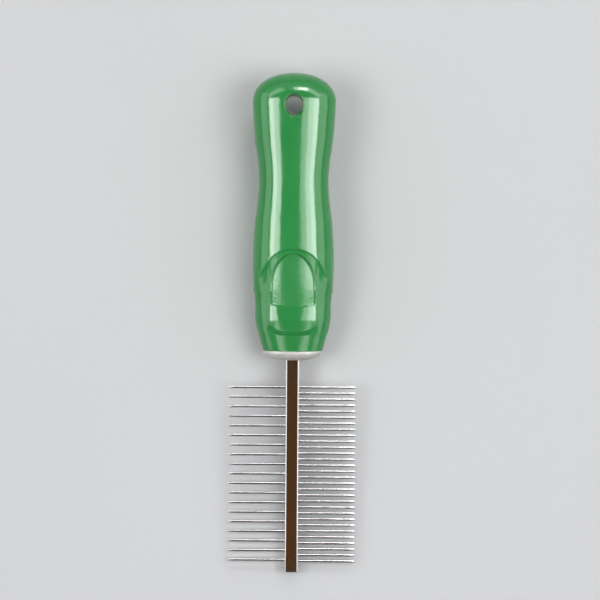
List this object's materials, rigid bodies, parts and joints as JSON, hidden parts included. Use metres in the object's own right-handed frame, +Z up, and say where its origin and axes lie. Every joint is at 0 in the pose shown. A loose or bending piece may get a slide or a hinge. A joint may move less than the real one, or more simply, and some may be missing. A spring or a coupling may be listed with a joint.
{
  "type": "double-sided dematting comb",
  "caption": "Double-sided pet grooming comb: square steel bar with coarse pins one side and fine pins the other, in a soft handle with thumb rests and a hang hole.",
  "frame": {"origin": "on the surface that the comb lies on, under the centre of its bounding box", "axes": "+Y along the comb towards the hanging end of the handle, +X towards the fine pins, +Z up out of the comb's front face; the comb lies on its back, on the handle's belly and the lower edge of the bar's tip, so its own long axis rises 4.12 degrees from tip to hanging end"},
  "size_m": [0.0528, 0.2068, 0.0284],
  "materials": {
    "grip_rubber": "glossy soft green sleeve, finely grained on the thumb pads",
    "core_plastic": "off-white moulded plastic",
    "bar_steel": "bright mirror plate",
    "pin_steel": "polished drawn wire"
  },
  "bodies": {
    "root": {"spine_bar": "bar_steel", "handle_core": "core_plastic", "grip_sleeve": "grip_rubber", "coarse_pin_01": "pin_steel", "coarse_pin_02": "pin_steel", "coarse_pin_03": "pin_steel", "coarse_pin_04": "pin_steel", "coarse_pin_05": "pin_steel", "coarse_pin_06": "pin_steel", "coarse_pin_07": "pin_steel", "coarse_pin_08": "pin_steel", "coarse_pin_09": "pin_steel", "coarse_pin_10": "pin_steel", "coarse_pin_11": "pin_steel", "coarse_pin_12": "pin_steel", "coarse_pin_13": "pin_steel", "coarse_pin_14": "pin_steel", "coarse_pin_15": "pin_steel", "coarse_pin_16": "pin_steel", "coarse_pin_17": "pin_steel", "coarse_pin_18": "pin_steel", "coarse_pin_19": "pin_steel", "fine_pin_01": "pin_steel", "fine_pin_02": "pin_steel", "fine_pin_03": "pin_steel", "fine_pin_04": "pin_steel", "fine_pin_05": "pin_steel", "fine_pin_06": "pin_steel", "fine_pin_07": "pin_steel", "fine_pin_08": "pin_steel", "fine_pin_09": "pin_steel", "fine_pin_10": "pin_steel", "fine_pin_11": "pin_steel", "fine_pin_12": "pin_steel", "fine_pin_13": "pin_steel", "fine_pin_14": "pin_steel", "fine_pin_15": "pin_steel", "fine_pin_16": "pin_steel", "fine_pin_17": "pin_steel", "fine_pin_18": "pin_steel", "fine_pin_19": "pin_steel", "fine_pin_20": "pin_steel", "fine_pin_21": "pin_steel", "fine_pin_22": "pin_steel", "fine_pin_23": "pin_steel", "fine_pin_24": "pin_steel", "fine_pin_25": "pin_steel", "fine_pin_26": "pin_steel", "fine_pin_27": "pin_steel", "fine_pin_28": "pin_steel", "fine_pin_29": "pin_steel", "fine_pin_30": "pin_steel"}
  },
  "joints": []
}
